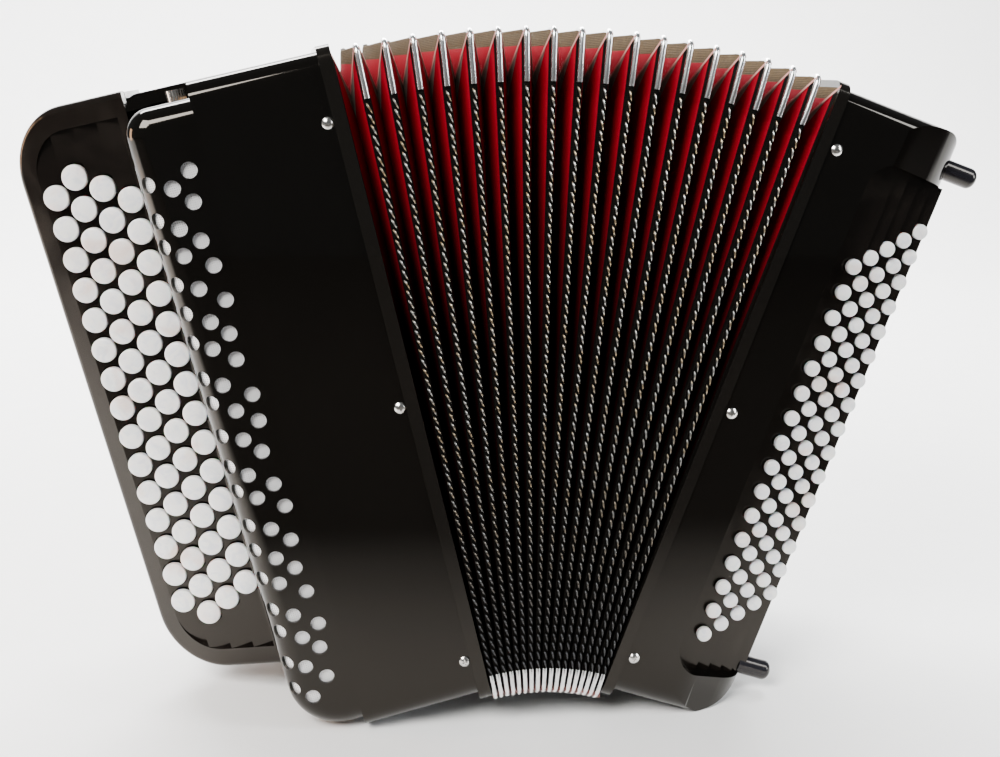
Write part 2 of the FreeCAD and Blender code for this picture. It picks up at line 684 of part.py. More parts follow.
def make_bass_board():
    """A black board in five terraces, one for each row, stepping back to the end."""
    half = BASS_ROW_SPACING * math.cos(BASS_ANGLE) / 2
    first = bass_row_top(0) + Y_AXIS * BASS_STANDS
    corners = [Vector(RECESS_LEFT - 6, first.y, 0)]
    for row in range(BASS_ROWS):
        floor = bass_row_top(row) + Y_AXIS * BASS_STANDS
        if row > 0:
            corners.append(Vector(floor.x - half, floor.y, 0))
        corners.append(Vector(floor.x + half if row < BASS_ROWS - 1 else BASS_OUTER + 5, floor.y, 0))
    corners.append(Vector(BASS_OUTER + 5, -40, 0))
    corners.append(Vector(RECESS_LEFT - 6, -40, 0))
    wire = Part.makePolygon(corners + [corners[0]])
    wire.translate(Vector(0, 0, -200))
    steps = Part.Face(wire).extrude(Vector(0, 0, 400))
    cuts = [steps]
    for row in range(BASS_ROWS):
        top = bass_row_top(row)
        for z in bass_heights(row):
            place = top + Vector(0, 0, z)
            cuts.append(rod(place + Y_AXIS * (BASS_STANDS + BASS_WELL), -Y_AXIS, BASS_BUTTON_R + 0.5, 30))
            cuts.append(rod(place, Y_AXIS, BASS_STEM_R + 0.4, 40))
    cuts.extend(foot_holes())
    keep("bass_button_board", cut_all(board_zone(0.0), cuts), BASS)


def make_bass_buttons():
    button = mushroom(BASS_BUTTON_R, BASS_HEAD, BASS_STEM_R, BASS_LENGTH, 0.6)
    for row in range(BASS_ROWS):
        solids = [aimed(button, -Y_AXIS, bass_row_top(row) + Vector(0, 0, z)) for z in bass_heights(row)]
        keep("bass_buttons_row_%d" % (row + 1), Part.makeCompound(solids), BASS)


# ------------------------------------------------------------ bass insides

def foot_places():
    return [(y, z) for y in (32.0, DEPTH - 32.0) for z in (-150.0, 167.0)]


def foot_holes():
    """Sockets in the bass end, each with a hole below it for the foot's peg."""
    holes = []
    for y, z in foot_places():
        holes.append(rod(Vector(BASS_OUTER - FOOT_SEAT, y, z), X_AXIS, FOOT_R + 0.05, 12))
        holes.append(rod(Vector(BASS_OUTER - FOOT_PEG, y, z), X_AXIS, FOOT_PEG_R + 0.02, 12))
    return holes


def make_bass_insides():
    low, high = BASS_BOTTOM + WALL, BASS_TOP - WALL
    board = box(BASS_BOARD_X - 5, BASS_BOARD_X, 31.0, DEPTH - WALL, low, high)
    slots = [box(BASS_BOARD_X - 6, BASS_BOARD_X + 1, 94, 106, z - 6, z + 6) for z in pallet_heights()]
    keep("bass_soundboard", cut_all(board, slots), BASS)
    blocks, plates = reed_bank(BASS_BOARD_X - 5, -26, (48, 86, 124), -150.0, 150.0)
    keep("bass_reed_blocks", blocks, BASS)
    keep("bass_reed_plates", plates, BASS)
    arms = []
    for z in pallet_heights():
        hub = Vector(BASS_AXLE[0], BASS_AXLE[1], 0)
        seat = Vector(BASS_BOARD_X + 3, 100, 0)
        arm = flat_bar(hub, seat, 3.0, z, 2.0)
        lever = flat_bar(hub, hub + Vector(16, 0, 0), 3.0, z, 2.0)
        boss = rod(Vector(hub.x, hub.y, z - 2), Z_AXIS, 4.5, 4.0)
        bore = rod(Vector(hub.x, hub.y, z - 5), Z_AXIS, BASS_AXLE_R + 0.05, 10)
        pallet = box(BASS_BOARD_X + 0.3, BASS_BOARD_X + 4, 92, 108, z - 8, z + 8)
        arms.append(arm.fuse([lever, boss]).cut(bore).fuse(pallet))
    keep("bass_pallets", Part.makeCompound(arms), BASS)
    first, last = pallet_heights()[0] - 14, pallet_heights()[-1] + 14
    axle = rod(Vector(BASS_AXLE[0], BASS_AXLE[1], first), Z_AXIS, BASS_AXLE_R, last - first)
    keep("bass_axle", axle, BASS)
    posts = []
    for z in (first + 3, last - 3):
        post = box(BASS_AXLE[0] - 5, BASS_AXLE[0] + 5, BASS_AXLE[1] - 5, DEPTH - WALL, z - 1.5, z + 1.5)
        hole = rod(Vector(BASS_AXLE[0], BASS_AXLE[1], z - 5), Z_AXIS, BASS_AXLE_R + 0.01, 10)
        posts.append(post.cut(hole))
    keep("bass_axle_posts", Part.makeCompound(posts), BASS)


def pallet_heights():
    """Heights of the bass pallets, one for each note of the octave."""
    return [BASS_PALLET_FIRST_Z + BASS_PALLET_PITCH * number for number in range(BASS_PALLETS)]


def make_bass_frame():
    outer = (-1.5, DEPTH + 1.5, BASS_BOTTOM - 3.0, BASS_TOP + 2.5)
    inner = (FRAME_OPENING, DEPTH - FRAME_OPENING,
             BASS_BOTTOM + FRAME_OPENING, BASS_TOP - FRAME_OPENING)
    rim = ring(BASS_RIM, BASS_INNER, outer, inner, 9.0)
    inside = (WALL, DEPTH - WALL, BASS_BOTTOM + WALL, BASS_TOP - WALL)
    spigot = ring(BASS_INNER, 6.0, inside, inner, 3.0)
    holes = [rod(Vector(0, y, z), Y_AXIS, 1.2, 9) for z in SCREW_Z for y in (-1.0, DEPTH - 8)]
    keep("bass_bellows_frame", cut_all(rim.fuse(spigot), holes), BASS)
    keep("bass_bellows_screws", screw_set(0.0, 0.0, DEPTH), BASS)


def make_bass_feet():
    solids = []
    for y, z in foot_places():
        foot = rod(Vector(BASS_OUTER - FOOT_SEAT, y, z), X_AXIS, FOOT_R, FOOT_SEAT + FOOT_LENGTH)
        tip = [edge for edge in foot.Edges if abs(edge.BoundBox.XMin - BASS_OUTER - FOOT_LENGTH) < 1e-3]
        foot = foot.makeFillet(4.0, tip)
        solids.append(foot.fuse(rod(Vector(BASS_OUTER - FOOT_PEG, y, z), X_AXIS, FOOT_PEG_R, FOOT_PEG)))
    keep("bass_feet", Part.makeCompound(solids), BASS)


def strap_line(z):
    """How far the hand strap stands off the end of the casing at height z."""
    span = (z + STRAP_END_Z) / (2 * STRAP_END_Z)
    return 2.0 + 18.0 * math.sin(math.pi * min(max(span, 0.0), 1.0)) ** 0.7


def make_bass_strap():
    """The hand strap, bowed away from the end face between its two brackets."""
    heights = [STRAP_END_Z * (k / 6 - 1) for k in range(13)]
    outer = [Vector(BASS_OUTER + strap_line(z) + STRAP_THICKNESS, 0, z) for z in heights]
    inner = [Vector(BASS_OUTER + strap_line(z), 0, z) for z in heights]
    face = Part.Face(Part.makePolygon(outer + inner[::-1] + [outer[0]]))
    face.translate(Y_AXIS * STRAP_FRONT)
    keep("bass_strap", face.extrude(Y_AXIS * STRAP_WIDTH), BASS)
    clamps = []
    for side in (1, -1):
        z0, z1 = sorted((side * (STRAP_END_Z + 0.2), side * (STRAP_END_Z + 13)))
        y0, y1 = STRAP_FRONT - 2, STRAP_FRONT + STRAP_WIDTH + 2
        clamps.append(box(BASS_OUTER, BASS_OUTER + 6.5, y0, y1, z0, z1))
    keep("bass_strap_clamps", Part.makeCompound(clamps), BASS)


def make_air_valve():
    """The thumb's air button, with its rod and the valve that it lifts inside."""
    cap = mushroom(6.5, 5.0, 3.8, 25.0, 0.8)
    cap = aimed(cap, X_AXIS, Vector(BASS_OUTER + 10, AIR_Y, AIR_Z))
    bridge = box(BASS_OUTER - 18, BASS_OUTER - 15, AIR_Y - 3, AIR_Y + 30, AIR_Z - 4, AIR_Z + 4)
    keep("air_button", cap.fuse(bridge), BASS)
    flap = rod(Vector(BASS_OUTER - WALL - 3.3, AIR_Y + 22, AIR_Z), X_AXIS, 10.0, 3.0)
    stalk = rod(Vector(BASS_OUTER - 15, AIR_Y + 22, AIR_Z), X_AXIS, 2.0, 5.0)
    keep("air_valve", flap.fuse(stalk), BASS)


make_folds()
make_treble_case()
make_grille()
make_thumb_screw()
make_keyboard()
make_keyboard_case()
make_treble_buttons()
make_treble_levers()
make_treble_insides()
make_treble_frame()
make_strap_brackets()
make_bass_case()
make_bass_board()
make_bass_buttons()
make_bass_insides()
make_bass_frame()
make_bass_feet()
make_bass_strap()
make_air_valve()

# The origin is at the middle of the floor under the whole instrument.
whole = Part.makeCompound(list(nodes.values())).optimalBoundingBox()
TO_FLOOR = Vector(-(whole.XMin + whole.XMax) / 2, -(whole.YMin + whole.YMax) / 2, -whole.ZMin)

os.makedirs("parts", exist_ok=True)
for node_name, node_shape in nodes.items():
    standing = node_shape.copy()
    standing.translate(TO_FLOOR)
    standing.exportStep("parts/%s.step" % node_name)
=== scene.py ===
import json
import math
import bpy
from mathutils import Matrix, Vector


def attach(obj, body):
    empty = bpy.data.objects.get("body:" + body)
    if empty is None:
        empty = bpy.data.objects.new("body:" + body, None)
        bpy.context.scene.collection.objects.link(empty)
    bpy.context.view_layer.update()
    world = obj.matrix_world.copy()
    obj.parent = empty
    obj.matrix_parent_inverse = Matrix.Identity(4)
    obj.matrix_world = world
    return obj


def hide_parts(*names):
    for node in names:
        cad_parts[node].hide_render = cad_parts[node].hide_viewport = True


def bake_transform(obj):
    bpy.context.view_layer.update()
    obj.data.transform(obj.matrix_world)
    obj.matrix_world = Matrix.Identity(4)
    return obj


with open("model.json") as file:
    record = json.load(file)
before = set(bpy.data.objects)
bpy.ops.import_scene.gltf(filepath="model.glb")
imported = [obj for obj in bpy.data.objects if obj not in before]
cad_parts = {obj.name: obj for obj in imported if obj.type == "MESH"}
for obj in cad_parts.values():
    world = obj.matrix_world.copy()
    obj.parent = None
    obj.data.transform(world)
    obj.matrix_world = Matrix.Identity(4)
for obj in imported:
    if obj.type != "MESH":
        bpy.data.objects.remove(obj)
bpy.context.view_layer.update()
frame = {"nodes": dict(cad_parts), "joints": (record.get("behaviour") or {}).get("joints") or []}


# ---------------------------------------------------------------- lacquered casings
# The treble casing, its grille cover and the bass casing are wooden boxes with a
# thick black piano lacquer, flatted and polished.  A little orange peel and the
# finest polishing marks are left in it.

class Value:
    """A number that varies over a surface.  Sums on it add Math nodes."""

    def __init__(self, finish, socket):
        self.finish = finish
        self.socket = socket

    def _math(self, operation, *values):
        sockets = dict(enumerate(values))
        return self.finish.node("ShaderNodeMath", {"operation": operation}, sockets)

    def __add__(self, other):
        return self._math("ADD", self, other)

    def __radd__(self, other):
        return self._math("ADD", other, self)

    def __mul__(self, other):
        return self._math("MULTIPLY", self, other)

    def __rmul__(self, other):
        return self._math("MULTIPLY", other, self)

    def sine(self):
        return self._math("SINE", self)

    def size(self):
        return self._math("ABSOLUTE", self)

    def larger(self, other):
        return self._math("MAXIMUM", self, other)

    def ramp(self, low, high):
        """0 below low, 1 above high, and a smooth rise between them."""
        return self.finish.node("ShaderNodeMapRange", {"interpolation_type": "SMOOTHSTEP"},
                                {"Value": self, "From Min": low, "From Max": high})


class Finish:
    """One material.  Its keywords set the shader's own sockets for the whole surface."""

    def __init__(self, name, **constants):
        self.material = bpy.data.materials.new(name)
        self.material.use_nodes = True
        self.tree = self.material.node_tree
        self.shader = self.tree.nodes["Principled BSDF"]
        for socket, value in constants.items():
            self.shader.inputs[socket.replace("_", " ")].default_value = value

    def node(self, kind, settings=None, sockets=None, output=0):
        made = self.tree.nodes.new(kind)
        for name, value in (settings or {}).items():
            setattr(made, name, value)
        for socket, value in (sockets or {}).items():
            self.feed(made.inputs[socket], value)
        return Value(self, made.outputs[output])

    def feed(self, socket, value):
        if isinstance(value, Value):
            self.tree.links.new(value.socket, socket)
        else:
            socket.default_value = value

    def set(self, **values):
        for socket, value in values.items():
            self.feed(self.shader.inputs[socket.replace("_", " ")], value)
        return self

    def place(self, tilt=0.0, stretch=(1.0, 1.0, 1.0)):
        """Position on the piece in metres, turned upright by tilt and then stretched."""
        raw = self.node("ShaderNodeTexCoord", output="Object")
        upright = self.node("ShaderNodeVectorRotate", {"rotation_type": "Y_AXIS"},
                            {"Vector": raw, "Angle": math.radians(-tilt)})
        return self.node("ShaderNodeVectorMath", {"operation": "MULTIPLY"}, {0: upright, 1: stretch})

    def axis(self, place, name):
        return self.node("ShaderNodeSeparateXYZ", None, {0: place}, output=name)

    def noise(self, place, scale, detail=3.0, distortion=0.0):
        return self.node("ShaderNodeTexNoise", None,
                         {"Vector": place, "Scale": scale, "Detail": detail, "Distortion": distortion})

    def mixed(self, amount, first, second):
        """The first colour where amount is 0 and the second where it is 1."""
        colours = {0: amount, 6: first, 7: second}
        return self.node("ShaderNodeMix", {"data_type": "RGBA"}, colours, output=2)

    def bump(self, height, depth, strength=1.0):
        return self.node("ShaderNodeBump", None,
                         {"Height": height, "Distance": depth, "Strength": strength})


MM = 0.001
TREBLE_TILT = -14.0
BASS_TILT = 18.64
WARM_TINT = (1.0, 0.90, 0.78, 1)


def black_gloss(name, dark, light, roughness, peel):
    """Black gloss with orange peel, faint cloudiness and fine polishing marks."""
    finish = Finish(name, IOR=1.5, Specular_IOR_Level=0.34, Specular_Tint=WARM_TINT,
                    Coat_Weight=0.12, Coat_Roughness=0.02)
    place = finish.place()
    cloud = finish.noise(place, 9.0)
    marks = finish.noise(finish.place(stretch=(1.0, 1.0, 0.06)), 2600.0)
    finish.set(Base_Color=finish.mixed(cloud, dark, light),
               Roughness=roughness + 0.05 * cloud * marks,
               Normal=finish.bump(finish.noise(place, 240.0, 1.0), peel * MM, 0.25))
    return finish.material


def dress(material, *names, angle=32.0):
    """Give CAD nodes a finish, and round off the look of their facets."""
    for name in names:
        node = frame["nodes"][name]
        node.data.materials.clear()
        node.data.materials.append(material)
        for face in node.data.polygons:
            face.use_smooth = True
            face.material_index = 0
        split = node.modifiers.new("crisp edges", "EDGE_SPLIT")
        split.split_angle = math.radians(angle)


lacquer = black_gloss("black piano lacquer", (0.0012, 0.0011, 0.001, 1), (0.003, 0.0026, 0.0022, 1),
                      0.05, 0.004)
dress(lacquer, "treble_case", "treble_grille", "bass_case")


# ------------------------------------------------------------------ bellows rims
# Two black frames, screwed into the open sides of the casings, that carry the
# ends of the bellows.  They are moulded and lacquered like the casings but a
# shade softer.

rim_finish = black_gloss("black rim", (0.003, 0.0028, 0.0026, 1), (0.007, 0.006, 0.005, 1), 0.12, 0.006)
dress(rim_finish, "treble_bellows_frame", "bass_bellows_frame")


# --------------------------------------------------------------- keyboard boards
# The button boards and the keyboard case are dark brown-black, with the same
# gloss.  Fingers leave the terraces duller between the buttons.

def board_finish():
    finish = Finish("board black", IOR=1.5, Specular_IOR_Level=0.34, Specular_Tint=WARM_TINT,
                    Coat_Weight=0.1, Coat_Roughness=0.05)
    place = finish.place()
    touched = finish.noise(place, 26.0, 4.0, 0.6).ramp(0.42, 0.68)
    grain = finish.noise(finish.place(stretch=(1.0, 1.0, 0.12)), 900.0, 2.0)
    finish.set(Base_Color=finish.mixed(touched, (0.0045, 0.0035, 0.003, 1), (0.010, 0.008, 0.0065, 1)),
               Roughness=0.13 + 0.10 * touched + 0.05 * grain,
               Normal=finish.bump(grain, 0.01 * MM, 0.3))
    return finish.material


dress(board_finish(), "keyboard_board", "keyboard_case", "bass_button_board")


# ------------------------------------------------------------------ pearl buttons
# Round pearl-celluloid buttons on both sides.  The sheet they are cut from is
# marbled, so that each one carries its own clouds of pink and blue-grey.

def pearl_finish():
    finish = Finish("pearl", IOR=1.5, Coat_Weight=0.7, Coat_Roughness=0.06,
                    Subsurface_Weight=0.12, Subsurface_Scale=0.002)
    place = finish.place()
    flow = finish.noise(place, 120.0, 4.0, 1.8)
    rose = finish.noise(place, 38.0, 2.0, 0.5).ramp(0.52, 0.74)
    body = finish.mixed(flow.ramp(0.38, 0.66), (0.96, 0.95, 0.93, 1), (0.80, 0.81, 0.84, 1))
    warm = finish.mixed(rose * 0.7, body, (0.80, 0.60, 0.52, 1))
    finish.set(Base_Color=warm, Roughness=0.22 + 0.12 * flow,
               Normal=finish.bump(flow, 0.03 * MM, 0.3))
    return finish.material


pearl = pearl_finish()
dress(pearl, *["treble_buttons_row_%d" % row for row in range(1, 5)])
dress(pearl, *["bass_buttons_row_%d" % row for row in range(1, 6)])
dress(pearl, "air_button")


# ------------------------------------------------------------------- bright metal
# Plated steel screws, chromed strap fittings, aluminium levers, steel axles and
# the reed plates.  Each has its own polish, and all show drawn or brushed marks.

def metal(name, colour, roughness, marks, stretch=(1.0, 1.0, 1.0), coat=0.0):
    finish = Finish(name, Metallic=1.0, Coat_Weight=coat, Coat_Roughness=0.03)
    brushed = finish.noise(finish.place(stretch=stretch), 1400.0, 2.0)
    tarnish = finish.noise(finish.place(), 60.0, 4.0, 0.8)
    dull = tuple(0.72 * part for part in colour[:3]) + (1,)
    finish.set(Base_Color=finish.mixed(tarnish.ramp(0.45, 0.8), colour, dull),
               Roughness=roughness + marks * brushed + 0.08 * tarnish,
               Normal=finish.bump(brushed, 0.008 * MM, 0.25))
    return finish.material


screw_metal = metal("plated screws", (0.80, 0.78, 0.74, 1), 0.12, 0.10)
dress(screw_metal, "treble_bellows_screws", "bass_bellows_screws", "grille_thumb_screw")
chrome = metal("chrome", (0.96, 0.96, 0.96, 1), 0.20, 0.03, coat=0.3)
dress(chrome, "shoulder_strap_brackets", "bass_strap_clamps")
aluminium = metal("lever aluminium", (0.66, 0.67, 0.69, 1), 0.28, 0.20, (0.1, 1.0, 1.0))
dress(aluminium, *["treble_levers_row_%d" % row for row in range(1, 5)])
dress(aluminium, "bass_pallets")
dress(metal("axle steel", (0.50, 0.50, 0.52, 1), 0.20, 0.15, (1.0, 1.0, 0.1)),
      "lever_axle", "bass_axle", "axle_posts", "bass_axle_posts")
dress(metal("reed plates", (0.62, 0.63, 0.62, 1), 0.32, 0.20, (1.0, 0.2, 1.0)),
      "treble_reed_plates", "bass_reed_plates")


# ---------------------------------------------------------------- grille gauze
# A fine square gauze of silvered wire is stretched behind the sound holes.  The
# wires cross over and under, and the cloth behind them is dark.

def gauze_finish():
    finish = Finish("silver gauze", Metallic=0.3)
    pitch = 1.15 * MM
    place = finish.place(TREBLE_TILT)
    across = finish.axis(place, "X") * (math.pi / pitch)
    upward = finish.axis(place, "Z") * (math.pi / pitch)
    wires = across.sine().size().larger(upward.sine().size()).ramp(0.40, 0.72)
    shine = finish.noise(place, 700.0, 1.0)
    finish.set(Base_Color=finish.mixed(wires, (0.10, 0.10, 0.11, 1), (0.97, 0.97, 0.98, 1)),
               Roughness=0.34 + 0.2 * shine, Normal=finish.bump(wires, 0.25 * MM, 0.6))
    return finish.material


dress(gauze_finish(), "grille_mesh")


# ------------------------------------------------------------------- woodwork
# The soundboards and reed blocks are spruce, sawn along the grain and left bare.
# Annual rings show as darker lines that run up the boards.

def spruce_finish():
    finish = Finish("spruce")
    place = finish.place(stretch=(1.0, 1.0, 0.05))
    rings = (finish.noise(place, 110.0, 2.0, 0.4) * 26.0).sine() * 0.5 + 0.5
    pores = finish.noise(finish.place(stretch=(1.0, 1.0, 0.08)), 900.0, 3.0)
    colour = finish.mixed(rings * 0.6 + pores * 0.3, (0.62, 0.42, 0.24, 1), (0.38, 0.21, 0.10, 1))
    finish.set(Base_Color=colour,
               Roughness=0.5 + 0.2 * pores, Normal=finish.bump(rings, 0.05 * MM, 0.4))
    return finish.material


dress(spruce_finish(), "treble_soundboard", "treble_reed_blocks", "bass_soundboard", "bass_reed_blocks")


# ------------------------------------------------------------------ felt and rubber
# The air valve has a felt face, and the four feet are moulded in glossy black
# rubber that has scuffed dull on its tips.

def felt_finish():
    finish = Finish("valve felt", Sheen_Weight=0.5, Sheen_Roughness=0.4)
    fuzz = finish.noise(finish.place(), 1100.0, 5.0, 1.2)
    finish.set(Base_Color=finish.mixed(fuzz, (0.05, 0.09, 0.05, 1), (0.12, 0.20, 0.11, 1)),
               Roughness=0.85 + 0.1 * fuzz, Normal=finish.bump(fuzz, 0.2 * MM, 0.8))
    return finish.material


dress(felt_finish(), "air_valve")
feet_finish = black_gloss("foot black", (0.006, 0.006, 0.008, 1), (0.014, 0.014, 0.018, 1), 0.16, 0.02)
dress(feet_finish, "bass_feet")


# ------------------------------------------------------------------------- bellows
# Eighteen folds of stiff card.  A card ridge is bound with cloth tape, and red
# cloth-covered panels drop from each ridge to the valley beside it.  At the four
# corners a leather gusset lets the panels hinge.

FOLDS = 18
STEP = (BASS_TILT - TREBLE_TILT) / (FOLDS + 1)
DEPTH = 200.0
HEIGHT = 367.0
HALF_GAP = 0.178
FOLD_WIDTH = 3.1
CORNER = 4.0
hinges = {joint["name"]: Vector(joint["pos_m"]) for joint in frame["joints"] if "pos_m" in joint}


def hinge_frame(number, tilt):
    """Frame on a hinge line: x across the bellows, y from the front, z up, in mm."""
    there = Matrix.Translation(hinges["bellows_%02d" % number]) @ Matrix.Rotation(math.radians(tilt), 4, "Y")
    return there @ Matrix.Scale(MM, 4) @ Matrix.Translation((0, -DEPTH / 2, 0))


class Skin:
    """Points and faces of one piece, gathered before its mesh is made."""

    def __init__(self):
        self.points = []
        self.faces = []
        self.slots = []

    def loft(self, rows, around=False, capped=False, slot=lambda row, column: 0):
        """Faces between rows of points; around closes each row on itself."""
        first = len(self.points)
        width = len(rows[0])
        for row in rows:
            self.points.extend(row)
        for r in range(len(rows) - 1):
            for c in range(width if around else width - 1):
                low, high = first + r * width, first + (r + 1) * width
                after = (c + 1) % width
                self.faces.append((low + c, low + after, high + after, high + c))
                self.slots.append(slot(r, c))
        if capped:
            last = first + (len(rows) - 1) * width
            self.faces.append(tuple(first + c for c in reversed(range(width))))
            self.faces.append(tuple(last + c for c in range(width)))
            self.slots.extend((slot(0, 0), slot(0, 0)))

    def make(self, name, place, *materials, angle=40.0):
        mesh = bpy.data.meshes.new(name)
        mesh.from_pydata([place @ Vector(point) for point in self.points], [], self.faces)
        for material in materials:
            mesh.materials.append(material)
        mesh.polygons.foreach_set("material_index", self.slots)
        mesh.polygons.foreach_set("use_smooth", [True] * len(self.faces))
        mesh.set_sharp_from_angle(angle=math.radians(angle))
        piece = bpy.data.objects.new(name, mesh)
        bpy.context.scene.collection.objects.link(piece)
        return piece


def fold_loop(inset, corner, runs, bends):
    """Points (y, z, run) round a fold: front run up, top, back down, then bottom.
    Each run is split into runs parts and each corner into bends parts."""
    low, deep, high = inset, DEPTH - inset, HEIGHT - inset
    radius = max(corner - inset, 0.4)
    corners = ((low, high, 180), (deep, high, 90), (deep, low, 0), (low, low, -90))
    rounds = []
    for y, z, start in corners:
        centre_y = y + radius if y == low else y - radius
        centre_z = z + radius if z == low else z - radius
        turn = [math.radians(start - 90 * step / bends) for step in range(bends + 1)]
        rounds.append([(centre_y + radius * math.cos(t), centre_z + radius * math.sin(t)) for t in turn])
    points = []
    for number, arc in enumerate(rounds):
        start, end = Vector(rounds[number - 1][-1]), Vector(arc[0])
        for part in range(runs):
            at = start.lerp(end, part / runs)
            points.append((at.x, at.y, number))
        points.extend((y, z, number + 0.5) for y, z in arc[:-1])
    return points


def grosgrain(name, dark, light):
    """Ribbed binding tape: fine ribs across it, with a little fray."""
    finish = Finish(name, Specular_IOR_Level=0.02)
    place = finish.place()
    rib_pitch = 0.9 * MM
    ribs = (finish.axis(place, "Y") * (2 * math.pi / rib_pitch)).sine() * 0.5
    ribs = ribs + (finish.axis(place, "Z") * (2 * math.pi / rib_pitch)).sine() * 0.5
    fray = finish.noise(place, 380.0, 4.0, 0.8)
    finish.set(Base_Color=finish.mixed((ribs * 0.5 + fray).ramp(0.2, 0.9), dark, light),
               Roughness=0.55 + 0.25 * fray, Normal=finish.bump(ribs + fray, 0.12 * MM, 0.7))
    return finish.material


def panel_finish():
    """Crimson book cloth, with painted shade that darkens it nearly to black towards the bottom of the
    bellows.
    """
    finish = Finish("crimson cloth", Specular_IOR_Level=0.02)
    place = finish.place()
    height = finish.node("ShaderNodeAttribute", {"attribute_name": "height"}, output="Fac")
    weave = finish.noise(place, 1500.0, 2.0)
    slub = finish.noise(finish.place(stretch=(1.0, 1.0, 0.2)), 260.0, 3.0)
    bright = finish.mixed(slub, (0.34, 0.003, 0.018, 1), (0.24, 0.002, 0.012, 1))
    # Painted shade: the deep colour is shaded cloth, mixed in by height so the panels go nearly black lower
    # down.
    deep = finish.mixed(slub, (0.014, 0.001, 0.002, 1), (0.008, 0.001, 0.001, 1))
    finish.set(Base_Color=finish.mixed(height.ramp(0.52, 1.0), deep, bright),
               Roughness=0.55 + 0.2 * weave, Normal=finish.bump(weave, 0.08 * MM, 0.5))
    return finish.material


def gusset_finish():
    """Thin grey-brown skiver leather with a fine pebbled grain."""
    finish = Finish("gusset leather", Specular_IOR_Level=0.05)
    place = finish.place()
    pebbles = finish.node("ShaderNodeTexVoronoi", {"feature": "SMOOTH_F1"},
                          {"Vector": place, "Scale": 900.0})
    patch = finish.noise(place, 120.0, 3.0)
    finish.set(Base_Color=finish.mixed(patch, (0.15, 0.125, 0.105, 1), (0.26, 0.215, 0.185, 1)),
               Roughness=0.6 + 0.2 * pebbles, Normal=finish.bump(pebbles, 0.15 * MM, 0.6))
    return finish.material


black_tape = grosgrain("black binding tape", (0.0015, 0.0015, 0.0015, 1), (0.008, 0.007, 0.006, 1))
brown_tape = grosgrain("brown binding tape", (0.045, 0.028, 0.013, 1), (0.12, 0.082, 0.042, 1))
crimson = panel_finish()
leather = gusset_finish()
seam = Finish("gusset edge")
seam_wear = seam.noise(seam.place(), 500.0)
seam.set(Base_Color=seam.mixed(seam_wear, (0.62, 0.30, 0.26, 1), (0.46, 0.19, 0.16, 1)),
         Roughness=0.5 + 0.2 * seam.noise(seam.place(), 300.0))

TAPE_WIDTH = 2.8
TOP_TAPE_DROP = 8.0
CARD_DROP = 5.0


def fold_middle():
    return HALF_GAP + FOLD_WIDTH / 2


def make_tape(number, place):
    """The binding wraps over the ridge and down both of its sides."""
    half = TAPE_WIDTH / 2
    edge = [(-half, None), (-half, 0.7), (-0.55 * half, 0.12), (0.0, 0.0),
            (0.55 * half, 0.12), (half, 0.7), (half, None)]
    rows = []
    for across, inset in edge:
        shallow = fold_loop(CARD_DROP if inset is None else inset, CORNER, 6, 4)
        deep = fold_loop(TOP_TAPE_DROP if inset is None else inset, CORNER, 6, 4)
        row = []
        for near, far in zip(shallow, deep):
            y, z, run = far if near[2] == 1 else near
            row.append((fold_middle() + across, y, z))
        rows.append(row)
    runs = [point[2] for point in fold_loop(0.0, CORNER, 6, 4)]
    skin = Skin()
    skin.loft(rows, around=True, slot=lambda row, column: 1 if runs[column] == 1 else 0)
    piece = skin.make("ridge_tape_%02d" % number, place, black_tape, brown_tape)
    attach(piece, "fold_%02d" % number)
    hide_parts("fold_%02d" % number)


VALLEY = 22.0
PANEL_STEPS = (0.0, 0.14, 0.34, 0.65, 0.93, 1.0)
GUSSET = 13.0


def half_opening(z):
    """Half the width of the gap between two neighbouring ridges at height z."""
    return HALF_GAP + 0.15 + z * math.tan(math.radians(STEP / 2))


def make_pleat(number, place):
    """Two panels that meet in a valley, all the way round between two ridges."""
    shares = [-(1 - share) for share in PANEL_STEPS] + [1 - share for share in PANEL_STEPS[-2::-1]]
    rows = []
    for share in shares:
        drop = (1 - abs(share)) * VALLEY + 0.9
        row = []
        for y, z, run in fold_loop(drop, CORNER, 12, 4):
            row.append((share * half_opening(z), y, z))
        rows.append(row)
    runs = [point[2] for point in fold_loop(1.0, CORNER, 12, 4)]

    def binding(row, column):
        """The tape covers more of the panels along the top run than elsewhere."""
        step = min(row, len(rows) - 2 - row)
        if 0.5 <= runs[column] < 1.5:
            return 2 if step < 2 else 0
        return 1 if step < 1 else 0

    skin = Skin()
    skin.loft(rows, around=True, slot=binding)
    piece = skin.make("pleat_%02d" % number, place, crimson, black_tape, brown_tape)
    # The height of each point drives the painted shade that darkens the crimson cloth lower down.
    height = piece.data.attributes.new("height", "FLOAT", "POINT")
    height.data.foreach_set("value", [point[2] / HEIGHT for point in skin.points])
    return piece


def make_gussets(number, place):
    """A kite of leather in each corner of a pleat, bound with a pink edge."""
    skin = Skin()
    for y_side in (0, 1):
        for z_side in (0, 1):
            def at(share, drop, slip, lift):
                """Point at a share of the gap, down towards the valley, slipped along the run."""
                y = drop - lift
                z = drop + slip
                if z_side:
                    z = HEIGHT - z
                x = share * half_opening(z)
                return (x, DEPTH - y if y_side else y, z)
            for side in (-1, 1):
                shares = (0.0, 0.2, 0.4, 0.6, 0.8, 0.92, 1.0)
                outer = [at(side * (1 - t), 1.0 + VALLEY * t, GUSSET * max(0.0, t - 0.25) / 0.75, 0.35)
                         for t in shares]
                inner = [at(side * (1 - t), 1.0 + VALLEY * t, -0.6, 0.9) for t in shares]
                upper = [at(side * (1 - t), 1.0 + VALLEY * t, -1.1, 1.5) for t in shares]
                lower = [at(side * (1 - t), 1.0 + VALLEY * t, 0.7, 1.5) for t in shares]
                skin.loft([outer, inner])
                skin.loft([upper, lower], slot=lambda row, column: 1)
    return skin.make("gussets_%02d" % number, place, leather, seam.material, angle=60.0)


